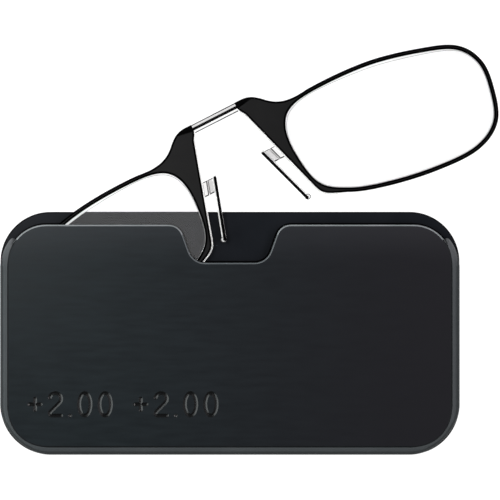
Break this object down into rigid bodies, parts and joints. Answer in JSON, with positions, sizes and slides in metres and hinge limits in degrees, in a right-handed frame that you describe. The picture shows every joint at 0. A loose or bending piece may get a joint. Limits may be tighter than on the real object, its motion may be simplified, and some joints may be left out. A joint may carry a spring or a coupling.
{
  "type": "armless reading glasses in a flat pod",
  "caption": "Armless nose-pinch reading glasses with clear lenses, thin dark rims and a springy wire bridge, half drawn out of a slim dark pocket case.",
  "frame": {"origin": "centre of the adhesive pad's lower face, in the plane that the pod lies on", "axes": "+X along the pod, +Y towards the pocket's mouth, +Z out of the front panel"},
  "size_m": [0.1214, 0.0999, 0.0045],
  "materials": {
    "pod_gloss": "glossy black polycarbonate",
    "pod_rail": "satin dark grey polycarbonate",
    "pod_soft_touch": "soft-touch black with a fine texture",
    "foam": "grey adhesive foam",
    "grip_silicone": "matt silicone",
    "rim_black": "satin black nylon",
    "lens_clear": "polished clear polycarbonate",
    "ferrule_black": "gloss black",
    "wire": "black oxide nickel titanium",
    "sleeve_clear": "clear flexible tube",
    "tab_clear": "clear moulded plastic",
    "spine_black": "gloss black",
    "pad_silicone": "clear silicone"
  },
  "bodies": {
    "pod": {"pod_back_plate": "pod_gloss", "pod_side_rail": "pod_rail", "pod_front_panel": "pod_soft_touch", "adhesive_pad": "foam", "left_grip_pad": "grip_silicone", "right_grip_pad": "grip_silicone"},
    "left_half": {"left_rim": "rim_black", "left_lens": "lens_clear", "left_ferrule": "ferrule_black", "left_pad_carrier": "tab_clear"},
    "left_pad": {"left_pad_leaf": "tab_clear", "left_pad_spine": "spine_black", "left_nose_pad": "pad_silicone"},
    "bridge": {"bridge_wire": "wire", "bridge_sleeve": "sleeve_clear"},
    "right_half": {"right_rim": "rim_black", "right_lens": "lens_clear", "right_ferrule": "ferrule_black", "right_pad_carrier": "tab_clear"},
    "right_pad": {"right_pad_leaf": "tab_clear", "right_pad_spine": "spine_black", "right_nose_pad": "pad_silicone"}
  },
  "joints": [
    {"name": "draw", "type": "slide", "parent": "pod", "child": "left_half", "axis": [0.2588, 0.9659, 0], "range_m": [0, 0.04]},
    {"name": "spread", "type": "hinge", "parent": "left_half", "child": "bridge", "pos_m": [-0.00628, 0.05118, 0.0025], "axis": [0, 0, 1], "range_deg": [-10, 30], "stiffness_Nm_per_rad": 0.02, "deforming": ["bridge_wire", "bridge_sleeve"]},
    {"name": "fold", "type": "hinge", "parent": "bridge", "child": "right_half", "pos_m": [-0.00112, 0.05382, 0.0025], "axis": [0.454, -0.891, 0], "range_deg": [0, 80], "stiffness_Nm_per_rad": 0.02, "deforming": ["bridge_wire", "bridge_sleeve"]},
    {"name": "left_pad_flex", "type": "hinge", "parent": "left_half", "child": "left_pad", "pos_m": [-0.00526, 0.03546, 0.0025], "axis": [0.1582, -0.9874, 0], "range_deg": [0, 60], "stiffness_Nm_per_rad": 0.0005},
    {"name": "right_pad_flex", "type": "hinge", "parent": "right_half", "child": "right_pad", "pos_m": [0.011, 0.04375, 0.0025], "axis": [-0.7059, 0.7083, 0], "range_deg": [0, 60], "stiffness_Nm_per_rad": 0.0005}
  ]
}
